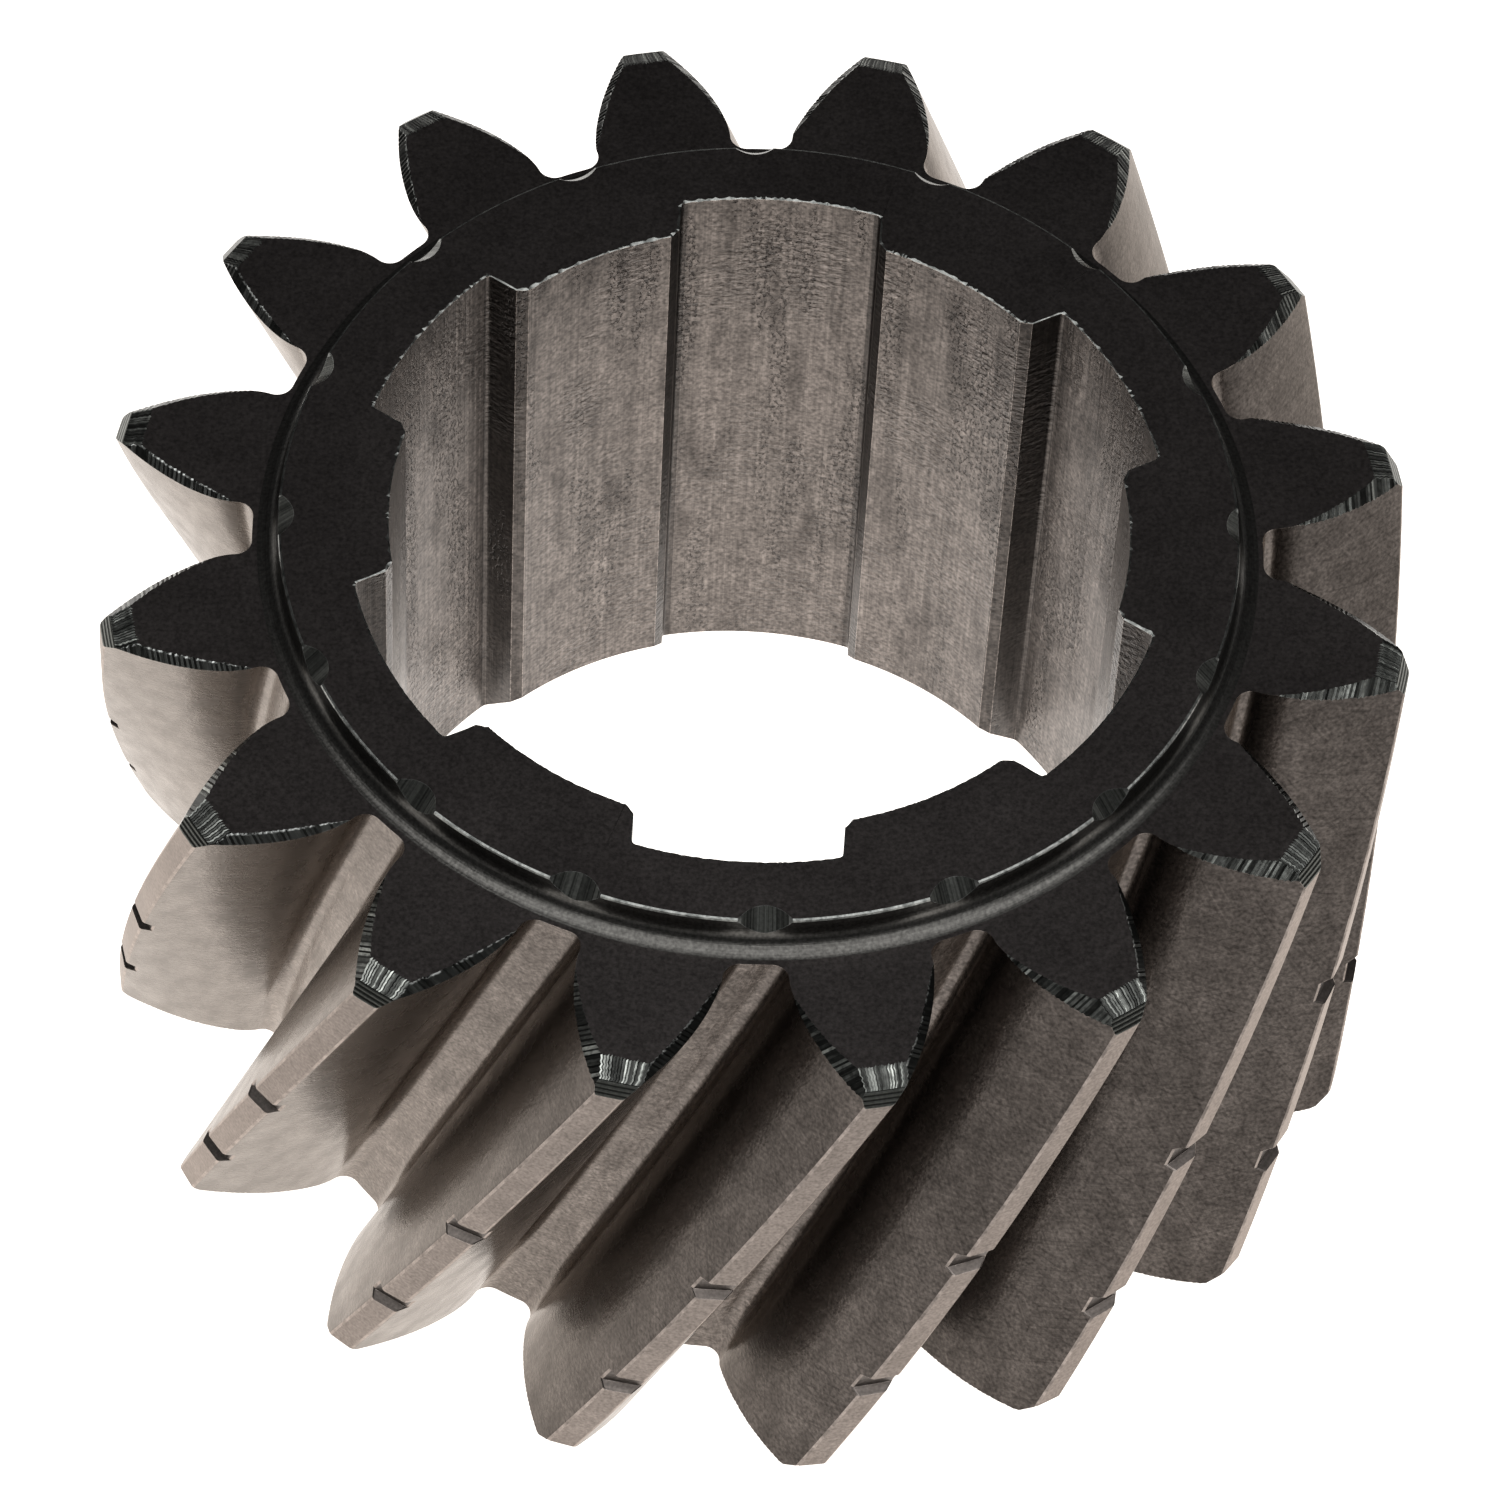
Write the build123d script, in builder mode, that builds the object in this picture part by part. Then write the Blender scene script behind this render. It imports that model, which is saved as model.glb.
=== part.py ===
from build123d import *
from math import acos, atan, cos, degrees, pi, radians, sin, sqrt, tan
import os

# One-piece helical gear with a splined bore. Millimetres, +Z up along the gear's axis.
# Origin: centre of the lower face. One pair of spline grooves lies along +Y and -Y.

# teeth
TEETH = 16
NORMAL_MODULE = 6.35
NORMAL_PRESSURE_ANGLE = 25.0
HELIX_ANGLE = 21.1
TIP_RADIUS = 61.4
ROOT_RADIUS = 46.95
ROOT_FILLET = 1.6
FACE_WIDTH = 67.5
TOOTH_PHASE = 9.2

# tooth ends: a turned chamfer on the tip, a shallow milled bevel inside it, and milled flank edges
TIP_CHAMFER_RADIAL = 1.0
TIP_CHAMFER_AXIAL = 1.25
TIP_BEVEL_RADIAL = 1.9
TIP_BEVEL_AXIAL = 0.85
FLANK_CHAMFER_ANGLE = 38.0
CUTTER_LEAD = 0.8
CUTTER_REACH = 1.4

# width of the milled flank edge on the end face, against radius
ACUTE_EDGE = ((47.6, -0.5), (49.2, 0.1), (51.0, 0.7), (53.5, 1.05), (58.0, 1.2), (63.0, 1.3))
OBTUSE_EDGE = ((49.0, -0.5), (51.0, 0.1), (53.0, 0.35), (55.5, 0.6), (58.0, 0.9), (63.0, 1.3))

# turned identification grooves round the teeth
RING_GROOVE_HEIGHTS = (15.6, 34.5)
RING_GROOVE_WIDTH = 2.75
RING_GROOVE_FLOOR = 1.95
RING_GROOVE_DEPTH = 0.85

# raised hub ring on the upper face
HUB_RADIUS = 44.5
HUB_HEIGHT = 3.3
HUB_FILLET = 2.0
HUB_EDGE = 0.25

# nicks left in the hub ring's edge where each tooth gap runs out
NICK_CUTTER_RADIUS = 3.4
NICK_DEPTH = 0.95
NICK_RUNOUT = 0.28
NICK_RUNOUT_ANGLE = -105.0
NICK_LEVEL = 69.8
NICK_CUTTER_LENGTH = 16.0

# six-groove spline, nominal diameter 76.2 (3 in)
SPLINE_GROOVES = 6
SPLINE_MAJOR_RADIUS = 38.1
SPLINE_MINOR_RADIUS = 34.29
SPLINE_GROOVE_WIDTH = 19.05
SPLINE_LAND_CHAMFER = 0.75
SPLINE_ROOT_FILLET = 0.5
SPLINE_PHASE = 90.0
BORE_LEAD_IN_RADIUS = 38.3

CLEARANCE = 2.0
CORNER_TOLERANCE = 0.1
FLANK_STEPS = 10
FLANK_CROWDING = 1.6
PITCH_ANGLE = 360.0 / TEETH
TOTAL_HEIGHT = FACE_WIDTH + HUB_HEIGHT
PITCH_RADIUS = TEETH * NORMAL_MODULE / cos(radians(HELIX_ANGLE)) / 2
TRANSVERSE_ANGLE = atan(tan(radians(NORMAL_PRESSURE_ANGLE)) / cos(radians(HELIX_ANGLE)))
BASE_RADIUS = PITCH_RADIUS * cos(TRANSVERSE_ANGLE)
TWIST_PER_MM = degrees(tan(radians(HELIX_ANGLE)) / PITCH_RADIUS)


def involute(angle):
    return tan(angle) - angle


def half_tooth(radius):
    """Half of the tooth's angular thickness at a radius, in degrees."""
    pressure = acos(min(1.0, BASE_RADIUS / radius))
    return PITCH_ANGLE / 4 - degrees(involute(pressure) - involute(TRANSVERSE_ANGLE))


def half_gap(radius):
    return PITCH_ANGLE / 2 - half_tooth(radius)


def polar(radius, angle, height=0.0):
    return (radius * cos(radians(angle)), radius * sin(radians(angle)), height)


def edge_width(table, radius):
    """Width of the milled flank edge at a radius, read from its table."""
    for (r_a, w_a), (r_b, w_b) in zip(table, table[1:]):
        if radius <= r_b:
            return w_a + (w_b - w_a) * (radius - r_a) / (r_b - r_a)
    return table[-1][1]


def flank_edge_cutter(top, side, table):
    """Wedge that mills one flank edge of the tooth centred at angle 0 on the end face."""
    face = FACE_WIDTH if top else 0.0
    outward = 1.0 if top else -1.0
    slope = tan(radians(FLANK_CHAMFER_ANGLE))
    sections = []
    for radius, _ in table:
        width = edge_width(table, radius)
        per_mm = degrees(1.0 / radius)
        start = half_tooth(radius) - width * per_mm
        reach = max(width, 0.0) + CUTTER_REACH
        inner = side * (start - CUTTER_LEAD * per_mm)
        outer = side * (start + reach * per_mm)
        high = face + outward * CUTTER_LEAD * slope
        low = face - outward * reach * slope
        corners = [polar(radius, inner, high), polar(radius, outer, low), polar(radius, outer, high)]
        sections.append(Wire.make_polygon(corners))
    return Solid.make_loft(sections, ruled=True)


# the turned blank: a profile revolved about Z
with BuildPart() as blank:
    with BuildSketch(Plane.XZ):
        with BuildLine():
            bevel_r = TIP_RADIUS - TIP_CHAMFER_RADIAL
            face_r = bevel_r - TIP_BEVEL_RADIAL
            chamfer_z = TIP_BEVEL_AXIAL + TIP_CHAMFER_AXIAL
            groove_r = TIP_RADIUS - RING_GROOVE_DEPTH
            outline = [(0, 0), (face_r, 0), (bevel_r, TIP_BEVEL_AXIAL), (TIP_RADIUS, chamfer_z)]
            for height in RING_GROOVE_HEIGHTS:
                outline.append((TIP_RADIUS, height - RING_GROOVE_WIDTH / 2))
                outline.append((groove_r, height - RING_GROOVE_FLOOR / 2))
                outline.append((groove_r, height + RING_GROOVE_FLOOR / 2))
                outline.append((TIP_RADIUS, height + RING_GROOVE_WIDTH / 2))
            outline.append((TIP_RADIUS, FACE_WIDTH - chamfer_z))
            outline.append((bevel_r, FACE_WIDTH - TIP_BEVEL_AXIAL))
            outline.append((face_r, FACE_WIDTH))
            outline.append((HUB_RADIUS + HUB_FILLET, FACE_WIDTH))
            Polyline(*outline)
            RadiusArc(
                (HUB_RADIUS + HUB_FILLET, FACE_WIDTH),
                (HUB_RADIUS, FACE_WIDTH + HUB_FILLET),
                HUB_FILLET,
            )
            Polyline(
                (HUB_RADIUS, FACE_WIDTH + HUB_FILLET),
                (HUB_RADIUS, TOTAL_HEIGHT - HUB_EDGE),
                (HUB_RADIUS - HUB_EDGE, TOTAL_HEIGHT),
                (0, TOTAL_HEIGHT),
                (0, 0),
            )
        make_face()
    revolve(axis=Axis.Z)

# the shape of one tooth gap, centred on angle 0
with BuildSketch() as gap:
    with BuildLine():
        gap_top = TIP_RADIUS + CLEARANCE
        fractions = [(i / FLANK_STEPS) ** FLANK_CROWDING for i in range(FLANK_STEPS + 1)]
        radii = [BASE_RADIUS + (gap_top - BASE_RADIUS) * f for f in fractions]
        left = [polar(r, half_gap(r))[:2] for r in radii]
        right = [polar(r, -half_gap(r))[:2] for r in radii]
        foot_left = polar(ROOT_RADIUS, half_gap(BASE_RADIUS))[:2]
        foot_right = polar(ROOT_RADIUS, -half_gap(BASE_RADIUS))[:2]
        ThreePointArc(foot_right, (ROOT_RADIUS, 0), foot_left)
        Line(foot_left, left[0])
        Spline(*left)
        Line(left[-1], right[-1])
        Spline(*right[::-1])
        Line(right[0], foot_right)
    make_face()
    foot_limit = ROOT_RADIUS + CORNER_TOLERANCE
    feet = gap.vertices().filter_by(lambda v: Vector(v).length < foot_limit)
    fillet(feet, ROOT_FILLET)

# the bore: major circle less six lands, with a lead-in cone at the lower face
with BuildSketch() as bore:
    Circle(SPLINE_MINOR_RADIUS)
    groove_length = SPLINE_MAJOR_RADIUS + CLEARANCE
    with PolarLocations(0, SPLINE_GROOVES, start_angle=SPLINE_PHASE):
        Rectangle(groove_length, SPLINE_GROOVE_WIDTH, align=(Align.MIN, Align.CENTER))
    Circle(SPLINE_MAJOR_RADIUS, mode=Mode.INTERSECT)
    land_limit = SPLINE_MINOR_RADIUS + CORNER_TOLERANCE
    land_corners = bore.vertices().filter_by(lambda v: Vector(v).length < land_limit)
    chamfer(land_corners, SPLINE_LAND_CHAMFER)
    root_limit = SPLINE_MAJOR_RADIUS - CORNER_TOLERANCE
    root_corners = bore.vertices().filter_by(lambda v: Vector(v).length > root_limit)
    fillet(root_corners, SPLINE_ROOT_FILLET)

with BuildPart() as helical_gear:
    add(blank.part)

    # sixteen helical tooth gaps
    travel = FACE_WIDTH + 2 * CLEARANCE
    gap_start = TOOTH_PHASE + PITCH_ANGLE / 2 - CLEARANCE * TWIST_PER_MM
    section = gap.face().moved(Location((0, 0, -CLEARANCE), (0, 0, gap_start)))
    cutter = Solid.extrude_linear_with_rotation(
        section, (0, 0, -CLEARANCE), (0, 0, travel), travel * TWIST_PER_MM
    )
    add(
        [cutter.rotate(Axis.Z, PITCH_ANGLE * i) for i in range(TEETH)],
        mode=Mode.SUBTRACT,
    )

    # milled flank edges at both ends: the acute edge leads at the top and trails at the bottom
    top_phase = TOOTH_PHASE + FACE_WIDTH * TWIST_PER_MM
    wedges = [
        flank_edge_cutter(True, 1, ACUTE_EDGE).rotate(Axis.Z, top_phase),
        flank_edge_cutter(True, -1, OBTUSE_EDGE).rotate(Axis.Z, top_phase),
        flank_edge_cutter(False, -1, ACUTE_EDGE).rotate(Axis.Z, TOOTH_PHASE),
        flank_edge_cutter(False, 1, OBTUSE_EDGE).rotate(Axis.Z, TOOTH_PHASE),
    ]
    add(
        [w.rotate(Axis.Z, PITCH_ANGLE * i) for w in wedges for i in range(TEETH)],
        mode=Mode.SUBTRACT,
    )

    # nicks in the hub ring's edge, one in line with each gap
    for i in range(TEETH):
        angle = TOOTH_PHASE + NICK_LEVEL * TWIST_PER_MM + PITCH_ANGLE * (i + 0.5)
        depth = NICK_DEPTH + NICK_RUNOUT * cos(radians(angle - NICK_RUNOUT_ANGLE))
        away = (NICK_CUTTER_RADIUS - depth) / sqrt(2)
        centre = polar(HUB_RADIUS + away, angle, TOTAL_HEIGHT + away)
        direction = polar(1.0, angle, -1.0)
        with Locations(Plane(origin=centre, z_dir=direction)):
            Cylinder(NICK_CUTTER_RADIUS, NICK_CUTTER_LENGTH, mode=Mode.SUBTRACT)

    # splined bore and its lead-in
    add(extrude(bore.sketch, TOTAL_HEIGHT), mode=Mode.SUBTRACT)
    with BuildSketch(Plane.XZ):
        with BuildLine():
            lead_radius = SPLINE_MINOR_RADIUS - CLEARANCE
            lead_height = BORE_LEAD_IN_RADIUS - lead_radius
            Polyline(
                (0, 0),
                (BORE_LEAD_IN_RADIUS, 0),
                (lead_radius, lead_height),
                (0, lead_height),
                close=True,
            )
        make_face()
    revolve(axis=Axis.Z, mode=Mode.SUBTRACT)

helical_gear.part.label = "helical_gear"
os.makedirs("parts", exist_ok=True)
export_step(helical_gear.part, "parts/helical_gear.step")
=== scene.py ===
"""Helical gear with a splined bore, rebuilt as one detailed mesh over the CAD frame."""

import random
from bisect import bisect_left
from math import acos, asin, atan, atan2, ceil, cos, hypot, pi, radians, sin, sqrt, tan

import bmesh
import bpy
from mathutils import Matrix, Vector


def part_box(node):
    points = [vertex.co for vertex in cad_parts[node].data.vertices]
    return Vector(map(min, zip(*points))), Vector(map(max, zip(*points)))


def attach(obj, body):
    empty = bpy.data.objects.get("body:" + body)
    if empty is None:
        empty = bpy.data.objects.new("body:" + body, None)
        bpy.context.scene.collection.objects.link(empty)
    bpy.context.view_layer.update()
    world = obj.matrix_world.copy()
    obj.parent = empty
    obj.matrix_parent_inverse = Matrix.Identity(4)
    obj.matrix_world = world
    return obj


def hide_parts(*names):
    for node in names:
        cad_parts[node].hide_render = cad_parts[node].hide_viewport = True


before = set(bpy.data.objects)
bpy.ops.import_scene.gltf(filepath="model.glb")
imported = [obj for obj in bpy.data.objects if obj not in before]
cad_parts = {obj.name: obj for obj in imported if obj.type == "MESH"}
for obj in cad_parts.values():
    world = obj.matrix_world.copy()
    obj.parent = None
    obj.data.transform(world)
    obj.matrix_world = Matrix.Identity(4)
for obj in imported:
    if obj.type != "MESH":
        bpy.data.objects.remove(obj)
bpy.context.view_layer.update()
gear_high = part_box("helical_gear")[1]
MM = 0.001
TAU = 2 * pi
rng = random.Random(16)

# ---------------------------------------------------------------- driving dimensions (mm, CAD frame)
# The tip radius and the overall height come from the frame; the rest repeat the CAD part's own values.
TEETH = 16
MODULE = 6.35
PRESSURE_ANGLE = radians(25.0)
HELIX_ANGLE = radians(21.1)
TIP_R = round(gear_high.x / MM, 1)
ROOT_R = 46.95
ROOT_FILLET = 1.6
FACE_Z = 67.5
PHASE = radians(9.2)

TIP_CHAMFER_R = 1.0
TIP_CHAMFER_Z = 1.25
TIP_BEVEL_R = 1.9
TIP_BEVEL_Z = 0.85
ACUTE_SLOPE = radians(38.0)
OBTUSE_SLOPE = radians(38.0)
# widths of the milled bands: (radius, width) pairs; a width below zero means no band
ACUTE_EDGE = ((47.6, -0.5), (49.2, 0.1), (51.0, 0.7), (53.5, 1.05), (58.0, 1.2), (63.0, 1.3))
OBTUSE_EDGE = ((49.0, -0.5), (51.0, 0.1), (53.0, 0.35), (55.5, 0.6), (58.0, 0.9), (63.0, 1.3))

GROOVE_Z = (15.6, 34.5)
GROOVE_WIDTH = 2.75
GROOVE_FLOOR = 1.95
GROOVE_DEPTH = 0.85

HUB_R = 44.5
HUB_TOP = round(gear_high.z / MM, 1)
HUB_FILLET = 2.0
HUB_EDGE = 0.25
NICK_CUTTER_R = 3.4
NICK_DEPTH = 0.95
NICK_BELOW_TOP = 1.0
NICK_RUNOUT = 0.28
NICK_RUNOUT_ANGLE = radians(-105.0)

SPLINES = 6
MAJOR_R = 38.1
MINOR_R = 34.29
SPLINE_HALF = 9.525
LAND_CHAMFER = 0.75
SPLINE_FILLET = 0.5
LEAD_IN_R = 38.3

# ---------------------------------------------------------------- traces of the cutters (mm)
# every other stroke widens its milled band by between these
STROKE_EXTRA = (0.03, 0.15)
# strength of a bevel's strokes, how deep the strongest goes, and how far it reaches into the end face
BEVEL_STROKE = (0.2, 1.0)
BEVEL_STROKE_DEPTH = 0.07
BEVEL_STROKE_REACH = 0.30
# share of a stroke's depth at the bevel's inner edge, its rise from there, and its share at the outer edge
BEVEL_STROKE_START = 0.25
BEVEL_STROKE_RISE = 3
BEVEL_STROKE_END = 0.5
# width of the broken edge round the bore's top, and its drop as a share of that width
BURR_LEAST = 0.08
BURR_REST = 0.26
BURR_DROP = 0.45
# setback of the middle of a rounded edge, as a share of the edge's width
ROUND_MIDDLE = 0.29

# ---------------------------------------------------------------- how finely each stretch is divided
ROOT_STEPS = 4
FILLET_STEPS = 8
STROKES = 4
MAIN_COLUMNS = STROKES * 11
BEVEL_COLUMNS = STROKES * 2
TIP_STEPS = 4
LAND_STEPS = 8
TIP_STROKES = 3
LONGEST_ROW = 4.2
HUB_STEPS = 8
BORE_STEPS = 10
NICK_STEPS = 8
# even spacing round the ring in degrees, and the least gap that it leaves beside a special angle
RING_STEP = 0.5
RING_GAP = radians(0.12)
# differences too small to count, digits kept when welding points, and halvings of a search
SAME_ANGLE = 1e-6
SAME_LINE = 1e-4
WELD_DIGITS = 4
HALVINGS = 40

# ---------------------------------------------------------------- worked-out dimensions
PITCH_R = TEETH * MODULE / cos(HELIX_ANGLE) / 2
ALPHA_T = atan(tan(PRESSURE_ANGLE) / cos(HELIX_ANGLE))
BASE_R = PITCH_R * cos(ALPHA_T)
TWIST = tan(HELIX_ANGLE) / PITCH_R
PITCH = TAU / TEETH
BEVEL_R = TIP_R - TIP_CHAMFER_R
FACE_R = BEVEL_R - TIP_BEVEL_R
END_Z = TIP_BEVEL_Z + TIP_CHAMFER_Z
EDGE_ROUND = TIP_CHAMFER_R - GROOVE_DEPTH
GROOVE_WALL = (GROOVE_WIDTH - GROOVE_FLOOR) / 2
FOOT_R = HUB_R + HUB_FILLET
EDGE_LINE = HUB_R + HUB_TOP - HUB_EDGE
SPLINE_PITCH = TAU / SPLINES

# ---------------------------------------------------------------- regions, and the numbering of strokes
REGIONS = (
    "face", "milled", "turned", "land", "edge", "flank", "hub", "nick", "worn", "bore", "wall", "groove",
)
# regions that shade smoothly into each other where they meet
SMOOTH_TOGETHER = ({"flank", "edge"}, {"edge", "land"}, {"bore", "wall"}, {"hub", "nick"})
SHARP_ANGLE = radians(24)

# On milled faces u counts the strokes and v tells the kind of face. Each band starts from a number of
# its own, by side and by top or bottom end, and each bevel by its end.
MARKS_PER_TOOTH = 400
BAND_MARKS = {(1, True): 0, (1, False): 100, (-1, True): 200, (-1, False): 300}
BEVEL_MARKS = {True: 60, False: 160}
ACUTE_V = 0.0
OBTUSE_V = 2.0
BEVEL_V = 4.0
# On the roots u falls below zero, by this much a row, so that the material can tell them from flanks.
ROOT_U = 0.5
# Step of v along the innermost row of the turned chamfer.
TURNED_V = 0.3


def polar(radius, angle, z):
    return (radius * cos(angle), radius * sin(angle), z)


def involute(angle):
    return tan(angle) - angle


def half_tooth(radius):
    """Half of the tooth's angular thickness at a radius."""
    pressure = acos(min(1.0, BASE_R / radius))
    return PITCH / 4 - involute(pressure) + involute(ALPHA_T)


def read_width(table, radius):
    """Width of a milled band at a radius, between the table's own radii by a straight line."""
    for (r_a, w_a), (r_b, w_b) in zip(table, table[1:]):
        if radius <= r_b:
            return w_a + (w_b - w_a) * (radius - r_a) / (r_b - r_a)
    return table[-1][1]


def end_depth(radius):
    """How far the turned end surface lies below the end face at a radius."""
    if radius <= FACE_R:
        return 0.0
    if radius <= BEVEL_R:
        return TIP_BEVEL_Z * (radius - FACE_R) / TIP_BEVEL_R
    return TIP_BEVEL_Z + TIP_CHAMFER_Z * (radius - BEVEL_R) / TIP_CHAMFER_R


def blank_r(z):
    """Outside radius of the turned blank at a height, with the two ring grooves in it."""
    for groove in GROOVE_Z:
        off = abs(z - groove)
        if off < GROOVE_WIDTH / 2:
            return TIP_R - GROOVE_DEPTH * min(1.0, (GROOVE_WIDTH / 2 - off) / GROOVE_WALL)
    return TIP_R


def crossing(low, high, before):
    """The place between low and high up to which the test called before holds."""
    for _ in range(HALVINGS):
        middle = (low + high) / 2
        if before(middle):
            low = middle
        else:
            high = middle
    return low


class Builder:
    """Collects faces, welding points that fall in the same place."""

    def __init__(self):
        self.points, self.index = [], {}
        self.faces, self.regions, self.coords = [], [], []

    def point(self, p):
        key = tuple(round(value, WELD_DIGITS) for value in p)
        if key not in self.index:
            self.index[key] = len(self.points)
            self.points.append(p)
        return self.index[key]

    def face(self, corners, region):
        """corners: list of (point, (u, v)) in order; u runs across the tool marks, v along them."""
        ids, coords = [], []
        for p, uv in corners:
            i = self.point(p)
            if i not in ids:
                ids.append(i)
                coords.append(uv)
        if len(ids) < 3:
            return
        self.faces.append(ids)
        self.regions.append(REGIONS.index(region))
        self.coords.append(coords)

    def strip(self, a, b, region):
        """Joins two rows of (point, uv); one may have a whole number of times more segments."""
        n = min(len(a), len(b)) - 1
        step_a, step_b = (len(a) - 1) // n, (len(b) - 1) // n
        for i in range(n):
            low = a[i * step_a:(i + 1) * step_a + 1]
            high = b[i * step_b:(i + 1) * step_b + 1]
            self.face(low + high[::-1], region)


build = Builder()


# ---------------------------------------------------------------- hub ring and splined bore
def spline_corners():
    """Corners of the outline beside a spline groove's middle line, as (x along that line, y across)."""
    floor_y = SPLINE_HALF - SPLINE_FILLET
    floor_x = sqrt((MAJOR_R - SPLINE_FILLET) ** 2 - floor_y ** 2)
    chamfer_x = sqrt(MINOR_R ** 2 - SPLINE_HALF ** 2) + LAND_CHAMFER
    return (floor_x, floor_y), (chamfer_x, SPLINE_HALF)


(FLOOR_X, FLOOR_Y), (CHAMFER_X, CHAMFER_Y) = spline_corners()
A_FLOOR = atan2(FLOOR_Y, FLOOR_X)
A_WALL = atan2(SPLINE_HALF, FLOOR_X)
A_CHAMFER = atan2(CHAMFER_Y, CHAMFER_X)
A_LAND = asin(SPLINE_HALF / MINOR_R) + LAND_CHAMFER / MINOR_R


def bore_radius(angle):
    """Radius of the splined bore at an angle, and the region of its surface there."""
    a = abs((angle - pi / 2 + SPLINE_PITCH / 2) % SPLINE_PITCH - SPLINE_PITCH / 2)
    if a <= A_FLOOR:
        return MAJOR_R, "bore"
    if a <= A_WALL:
        along = FLOOR_X * cos(a) + FLOOR_Y * sin(a)
        rest = FLOOR_X ** 2 + FLOOR_Y ** 2 - SPLINE_FILLET ** 2
        return along + sqrt(max(0.0, along ** 2 - rest)), "wall"
    if a <= A_CHAMFER:
        return SPLINE_HALF / sin(a), "wall"
    if a < A_LAND:
        land_x, land_y = MINOR_R * cos(A_LAND), MINOR_R * sin(A_LAND)
        nx, ny = land_y - CHAMFER_Y, CHAMFER_X - land_x
        return (nx * CHAMFER_X + ny * CHAMFER_Y) / (nx * cos(a) + ny * sin(a)), "wall"
    return MINOR_R, "bore"


def gear_nicks():
    """(angle, depth) of the nick that each tooth gap's cutter left in the hub's edge."""
    found = []
    for i in range(TEETH):
        angle = PHASE + (HUB_TOP - NICK_BELOW_TOP) * TWIST + PITCH * (i + 0.5)
        depth = NICK_DEPTH + NICK_RUNOUT * cos(angle - NICK_RUNOUT_ANGLE)
        found.append((angle % TAU, depth))
    return found


NICKS = gear_nicks()


def nick_line(depth, off):
    """Radius plus height of a nick's surface at a tangential distance from its middle."""
    away = (NICK_CUTTER_R - depth) / sqrt(2)
    return HUB_R + HUB_TOP + 2 * away - sqrt(2) * sqrt(max(0.0, NICK_CUTTER_R ** 2 - off * off))


def nearest_nick(angle):
    """How far an angle lies from the nearest nick's middle, and that nick's depth."""
    offsets = [((angle - middle + pi) % TAU - pi, depth) for middle, depth in NICKS]
    return min(offsets, key=lambda found: abs(found[0]))


def cut_line(radius, off_angle, depth):
    """Radius plus height at which the hub's broken edge, or a nick, cuts a surface at a radius."""
    off = radius * sin(off_angle)
    if abs(off) >= NICK_CUTTER_R:
        return EDGE_LINE
    cut = nick_line(depth, off) + radius * (1 - cos(off_angle))
    return cut if cut < EDGE_LINE - SAME_LINE else EDGE_LINE


def hub_fillet(turn):
    """(radius, z) on the fillet at the hub's foot."""
    return FOOT_R + HUB_FILLET * cos(turn), FACE_Z + HUB_FILLET + HUB_FILLET * sin(turn)


def hub_profile(angle):
    """Rows of (radius, z) from the hub's foot to its top edge, and whether a nick cuts them."""
    off_angle, depth = nearest_nick(angle)
    line = cut_line(HUB_R, off_angle, depth)
    nicked = line < EDGE_LINE

    def cut_away(turn):
        radius, z = hub_fillet(turn)
        return radius + z > cut_line(radius, off_angle, depth)

    last = crossing(-pi, -pi / 2, cut_away) if cut_away(-pi) else -pi
    rows = [hub_fillet(-pi / 2 + (last + pi / 2) * i / HUB_STEPS) for i in range(HUB_STEPS + 1)]
    rows.append(rows[-1] if last > -pi else (HUB_R, line - HUB_R))
    top_r = cut_line(line - HUB_TOP, off_angle, depth) - HUB_TOP
    if nicked:
        rows.append(((rows[-1][0] + top_r) / 2, (rows[-1][1] + HUB_TOP) / 2))
    else:
        rows.append((HUB_R - ROUND_MIDDLE * HUB_EDGE, HUB_TOP - ROUND_MIDDLE * HUB_EDGE))
    rows.append((top_r, HUB_TOP))
    return rows, nicked


def special_angles():
    """Angles where the bore turns a corner, a gap has its middle or a nick needs a point."""
    beside_spline = [A_FLOOR, A_WALL, A_CHAMFER, A_LAND]
    beside_spline += [A_FLOOR + (A_WALL - A_FLOOR) * k / 4 for k in (1, 2, 3)]
    beside_spline += [A_WALL + (A_CHAMFER - A_WALL) * k / 3 for k in (1, 2)]
    found = []
    for i in range(SPLINES):
        middle = pi / 2 + i * SPLINE_PITCH
        found += [middle + side * off for side in (1, -1) for off in beside_spline]
    for i in range(TEETH):
        middle = PHASE + PITCH * (i + 0.5)
        found += [middle, middle + TWIST * FACE_Z]
    for middle, depth in NICKS:
        reach = asin(crossing(0.0, NICK_CUTTER_R, lambda off: nick_line(depth, off) < EDGE_LINE) / HUB_R)
        found += [middle + reach * k / NICK_STEPS for k in range(-NICK_STEPS, NICK_STEPS + 1)]
    return sorted(angle % TAU for angle in found)


def shared_ring():
    """Angles that hub, bore and end faces share: the special ones, and even ones in between."""
    ring = []
    for angle in special_angles():
        if not ring or angle - ring[-1] > SAME_ANGLE:
            ring.append(angle)
    for i in range(round(360 / RING_STEP)):
        angle = radians(RING_STEP * i)
        n = bisect_left(ring, angle)
        near = (ring[n - 1], ring[n % len(ring)])
        if all(abs((angle - other + pi) % TAU - pi) > RING_GAP for other in near):
            ring.insert(n, angle)
    return ring


RING = shared_ring()


def ring_between(first, last):
    """Angles of the shared ring from one gap's middle to the next, both included."""
    start = TAU * (first // TAU)
    found = []
    for turns in (-1, 0, 1):
        for angle in RING:
            turned = angle + start + turns * TAU
            if first + SAME_ANGLE < turned < last - SAME_ANGLE:
                found.append(turned)
    return [first] + sorted(found) + [last]


outline, kinds = [], []
for angle in RING:
    radius, kind = bore_radius(angle)
    outline.append((radius * cos(angle), radius * sin(angle)))
    kinds.append(kind)

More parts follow.
